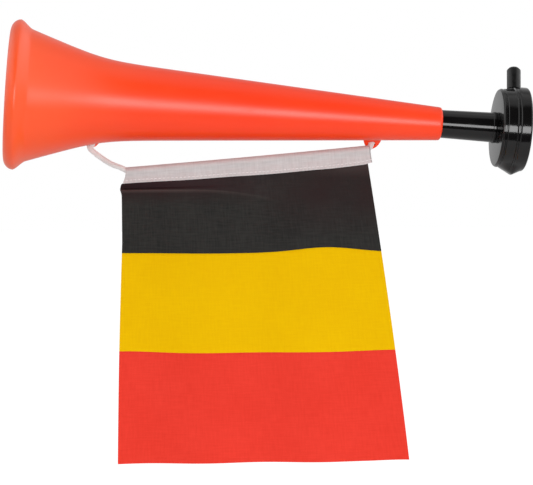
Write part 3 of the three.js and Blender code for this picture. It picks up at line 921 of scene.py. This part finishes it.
sag = tape_sag * np.sin(math.pi * share)
left_slant, right_slant = -0.003, 0.0007
slant = np.where(share < 0.5, left_slant, right_slant) * np.abs(2 * share - 1) ** 9
points = np.empty((len(steps), len(fold), 3))
for i, (y, z) in enumerate(fold):
    outward = np.sign(y) * low[i] * pucker
    upright = z - sag + (hem(share) + sag) * low[i]
    onward = steps + slant * np.clip(-z / tape_drop, 0, 1)
    points[:, i] = np.outer(onward, run) + np.outer(y + outward, back) + np.outer(upright, rise)
points += np.array(tape_left)
tape = cloth_mesh("tape", points, *np.meshgrid(girth, steps), 0.0005, tape_cloth.material)
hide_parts("flag_sleeve")
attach(tape, "flag")

# The seam is a row of lock stitches in white thread on both faces of the tape
stitch_sizes = {"Spacing": stitch_spacing, "Stitch Length": 0.0023, "Thread Radius": 0.00022}
sewing = Tree("Stitches", stitch_sizes)
given = sewing.given
marks = sewing.add(
    "GeometryNodeCurveToPoints", {"mode": "LENGTH"}, Curve=given["Line"], Length=given["Spacing"]
).outputs
bead = sewing.add("GeometryNodeMeshUVSphere", Segments=8, Rings=6, Radius=0.5).outputs[0]
thickness = sewing.math("MULTIPLY", given["Thread Radius"], 2)
stretch = sewing.add("ShaderNodeCombineXYZ", X=given["Stitch Length"], Y=thickness, Z=thickness)
stitch = sewing.add("GeometryNodeTransform", Geometry=bead, Scale=stretch.outputs[0]).outputs[0]
aim = sewing.add("FunctionNodeAlignRotationToVector", {"axis": "X"}, Vector=marks["Tangent"]).outputs[0]
row = sewing.add(
    "GeometryNodeInstanceOnPoints", Points=marks["Points"], Instance=stitch, Rotation=aim
)
sewing.end(row.outputs[0])
thread = Finish("white thread", 0.6, Sheen_Weight=0.2)
twist = thread.noise(thread.place(), 3000)
thread.paint(
    Base_Color=thread.mix(thread.between(twist, 0, 1), rgb("dcd6d6"), rgb("f0ecec")),
    Normal=thread.bump(twist, 0.00005, 0.5),
)
seam_off_middle = 0.00137
seam_above_edge = 0.0021
seams = []
for side in (-1, 1):
    seam_places = [
        tape_left
        + run * (tape_start + tape_length * t)
        + back * side * seam_off_middle
        + rise * (seam_above_edge - tape_drop + hem(t))
        for t in np.linspace(-0.001, 1, 90)
    ]
    seams.append(sewing.make("seam", line_object("seam_line", seam_places), thread.material))
seam = joined("tape_stitches", seams)
smooth(seam)
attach(seam, "flag")

# Flag
# Three strips of thin woven cloth in black, yellow and red, sewn edge to edge and into the tape. The tape
# draws the cloth in at the top, so it spreads and waves towards the lower edge.
flag_height = 0.2054
top_width = 0.1736
cloth_thickness = 0.00045
mean_width = 0.19
lap_depth = 0.0012
tucked_in_tape = 0.0046
slope = run.z / math.hypot(run.x, run.y)
hang = Matrix.Translation(tape_left) @ Matrix.Rotation(math.atan2(run.y, run.x), 4, "Z")


def left_edge(level):
    """How far right of the tape's end the cloth's left edge lies at a level"""
    low = np.clip((level - 0.05) / 0.154, 0, 1)
    return -0.0034 - 0.0044 * low - 0.00055 * np.sin(math.pi * low)


def left_corner(level):
    """How far the cloth's left edge is tucked in at the tape, and swells just under it"""
    tucked = 0.0048 * (1 - eased((level - 0.006) / 0.0034))
    return tucked - 0.0011 * np.exp(-(((level - 0.0122) / 0.0028) ** 2))


def right_edge(level):
    """How far right the cloth's right edge lies at a level"""
    low = level - 0.0127
    return 0.1719 + 0.153 * low - 0.1 * low * low


def black_line(share):
    """Level of the seam between black and yellow, drawn up towards the right"""
    left = np.clip(1 - share / 0.35, 0, 1)
    return 0.0578 - 0.0008 * left - 0.0038 * np.exp(-(((share - 0.79) / 0.165) ** 2))


def yellow_line(share):
    """Level of the seam between yellow and red, drawn up at both ends"""
    left = 0.0018 * np.exp(-((share / 0.16) ** 2))
    return 0.1277 - left - 0.0011 * np.exp(-(((1 - share) / 0.12) ** 2))


def hanging_cloth(share, level):
    """Middle surface of the flag from a share of its width and a level below the tape's left end

    The cloth waves more the lower it hangs. Under the tape's left half it rolls forwards over a tuck, and
    just under the tape it is held flat.
    """
    fallen = level / flag_height
    left = left_edge(level)
    width = right_edge(level) - left
    waves = (0.0006 + 0.0018 * fallen) * np.sin(5 * math.pi * share)
    fade = np.clip(1 - share / 0.5, 0, None) ** 1.3
    tuck = level + 0.004 * share
    step = 1 - 1.3 * eased((tuck - 0.0116) / 0.0018) + 0.3 * eased((tuck - 0.0134) / 0.01)
    roll = -0.0032 * fade * eased((tuck - 0.0074) / 0.0042) * step
    below = level + share * top_width * slope
    grip_start, grip_end = 0.0056, 0.0204
    held = eased((below - grip_start) / (grip_end - grip_start))
    creases = 0.00025 * np.sin(41 * share + 3 * np.sin(level * 60)) * np.exp(-below / 0.03)
    ripple = 0.0003 * np.sin(19 * share + level * 55 + 0.7) * np.sin(level * 38 + 1.1)
    across = left + width * share + left_corner(level) * np.clip(1 - share / 0.08, 0, 1) ** 2
    return np.stack([across, (waves + ripple + creases) * held - roll, -level], -1)


def strip(name, top, bottom, rows, material, node, behind=0.0, tucked=0.0):
    """One strip between two seams, whose upper edge may lie behind the strip above it"""
    share = np.linspace(0, 1, 181)[None, :].repeat(rows + 1, 0)
    start = top(share) - tucked
    level = start + (bottom(share) - start) * np.linspace(0, 1, rows + 1)[:, None]
    points = hanging_cloth(share, level)
    points[..., 1] += behind * np.clip(1 - (level - top(share)) / lap_depth, 0, 1)
    turn = np.array(hang)
    points = points @ turn[:3, :3].T + turn[:3, 3]
    made = cloth_mesh(name, points, share * mean_width, -level, cloth_thickness, material)
    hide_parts(node)
    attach(made, "flag")
    return made


def painted_light_on_black(cloth, colour, across, down):
    """Painted light on the black cloth

    A painted orange reflection lies on the left, from the tape to just under the fold's ridge, and at the
    top right. Painted shade lies just above the ridge, and painted highlights lie along it and in the top
    right corner.
    """

    def times(first, second):
        return cloth.math("MULTIPLY", first, second)

    level = times(down, -1)
    along = cloth.math("MAXIMUM", cloth.math("SUBTRACT", across, 0.053), 0)
    ridge = cloth.math("ADD", times(times(along, along), 1.8), 0.0131)
    below = cloth.math("SUBTRACT", level, ridge)
    patchy = cloth.between(cloth.noise(cloth.place(uv="weave"), 45, 3.0), 0.6, 1.0, 0.35, 0.65)
    left = cloth.between(across, 1, 0, 0.03, 0.13)
    right = times(cloth.between(across, 0, 1, 0.09, 0.15), cloth.between(level, 1, 0, 0.02, 0.048))
    # Painted orange reflection of the trumpet, on the left under the tape and at the top right
    painted_orange_reflection = cloth.math("MAXIMUM", times(left, cloth.between(below, 1, 0, 0.003, 0.011)), right)
    colour = cloth.mix(times(painted_orange_reflection, patchy), colour, rgb("2b1f1f"))
    shadowed = times(left, cloth.between(below, 0.75, 0, -0.0012, -0.0001))
    colour = cloth.mix(shadowed, colour, rgb("362125"))
    # A painted highlight along the fold's ridge, fading to the right
    line = times(cloth.between(below, 0, 1, -0.0006, 0), cloth.between(below, 1, 0, 0, 0.0022))
    line = times(line, cloth.between(across, 0.5, 0, 0.04, 0.12))
    # A painted highlight in the cloth's top right corner, just under the tape
    painted_corner_highlight = times(cloth.between(across, 0, 0.3, 0.13, 0.17), cloth.between(level, 1, 0, -0.002, 0.005))
    return cloth.mix(cloth.math("MAXIMUM", line, painted_corner_highlight), colour, rgb("5a4a48"))


def tape_line(share):
    """Level of the strip's upper edge, inside the tape"""
    return tape_drop - tucked_in_tape - top_width * slope * share


def lower_edge(share):
    """Level of the flag's lower edge, drawn up at its right corner"""
    return flag_height - 0.0008 * eased((share - 0.85) / 0.15)


# The black cloth carries painted reflection, painted shade and painted highlights
black_cloth = woven("black cloth", "222221", "302f2d", 0.0005, tint=painted_light_on_black)
yellow_cloth = woven("yellow cloth", "e3b100", "e8b900", 0.0005, shine=0.05, relief=0.35)
red_cloth = woven("red cloth", "e03526", "e83c2e", 0.0005, relief=0.45)
lap = {"behind": 0.0006, "tucked": lap_depth}
black_part = strip("black_strip", tape_line, black_line, 140, black_cloth.material, "flag_black_strip")
yellow_part = strip(
    "yellow_strip", black_line, yellow_line, 80, yellow_cloth.material, "flag_yellow_strip", **lap
)
red_part = strip("red_strip", yellow_line, lower_edge, 90, red_cloth.material, "flag_red_strip", **lap)

# Floor
# A plain pale sheet far under the hanging flag, which isn't part of the horn. To the camera it is nearly
# white, and it keeps the soft shadow.
floor_mesh = bpy.data.meshes.new("floor")
floor_level = -0.36
far, near = 8, -0.5
floor_corners = [(x, y, floor_level) for x, y in ((-far, near), (far, near), (far, far), (-far, far))]
floor_mesh.from_pydata(floor_corners, [], [(0, 1, 2, 3)])
floor = bpy.data.objects.new("floor", floor_mesh)
scene.collection.objects.link(floor)
paper = Finish("pale floor", 0.9)
paper.shader.inputs["Base Color"].default_value = (0.73, 0.73, 0.73, 1)
glow = paper.add("ShaderNodeEmission", Color=(1, 1, 1, 1), Strength=1.25).outputs[0]
from_camera = paper.add("ShaderNodeLightPath").outputs["Is Camera Ray"]
glow_share = paper.math("MULTIPLY", from_camera, 0.75)
blend = paper.add("ShaderNodeMixShader", _0=glow_share, _1=paper.shader.outputs[0], _2=glow)
paper.tree.links.new(blend.outputs[0], paper.tree.nodes["Material Output"].inputs[0])
floor_mesh.materials.append(paper.material)

# Light
# A white studio: a wide soft lamp in front, a pale ceiling, a white wall behind and a bright panel on each
# side. The camera's side of the room is dark, so that the black plastic shows the lamp alone.
world = bpy.data.worlds.new("studio")
scene.world = world
world.use_nodes = True
world.node_tree.nodes.clear()
sky = Nodes(world.node_tree)
ways = sky.add("ShaderNodeSeparateXYZ", _0=sky.add("ShaderNodeTexCoord").outputs["Generated"]).outputs
ceiling = sky.between(ways["Z"], 0.02, 0.62, 0.84, 0.95, "SMOOTHSTEP")
wall = sky.between(ways["Y"], 0.0, 0.62, -0.1, 0.95, "SMOOTHSTEP")
side = sky.between(sky.math("ABSOLUTE", ways["X"]), 0.0, 1.3, 0.3, 0.75, "SMOOTHSTEP")
high = sky.between(ways["Z"], 0.35, 1.15, -0.2, 0.35, "SMOOTHSTEP")
panels = sky.math("MULTIPLY", side, high)
brightness = sky.math("MAXIMUM", sky.math("ADD", ceiling, wall), panels)
room = sky.add("ShaderNodeBackground", Color=(1, 1, 1, 1), Strength=brightness).outputs[0]
white = sky.add("ShaderNodeBackground", Color=(1, 1, 1, 1), Strength=1.0).outputs[0]
from_camera = sky.add("ShaderNodeLightPath").outputs["Is Camera Ray"]
choice = sky.add("ShaderNodeMixShader", _0=from_camera, _1=room, _2=white).outputs[0]
sky.add("ShaderNodeOutputWorld", Surface=choice)

lamp_place, lamp_target = Vector((0.12, -1.6, -0.07)), Vector((-0.1, 0, -0.07))
light = bpy.data.lights.new("front lamp", "AREA")
light.shape = "RECTANGLE"
light.size, light.size_y = 1.35, 0.49
light.energy = 17.8
lamp = bpy.data.objects.new("front lamp", light)
lamp.location = lamp_place
lamp.rotation_mode = "QUATERNION"
lamp.rotation_quaternion = (lamp_target - lamp_place).to_track_quat("-Z", "Y")
scene.collection.objects.link(lamp)
scene.view_settings.view_transform = "Standard"
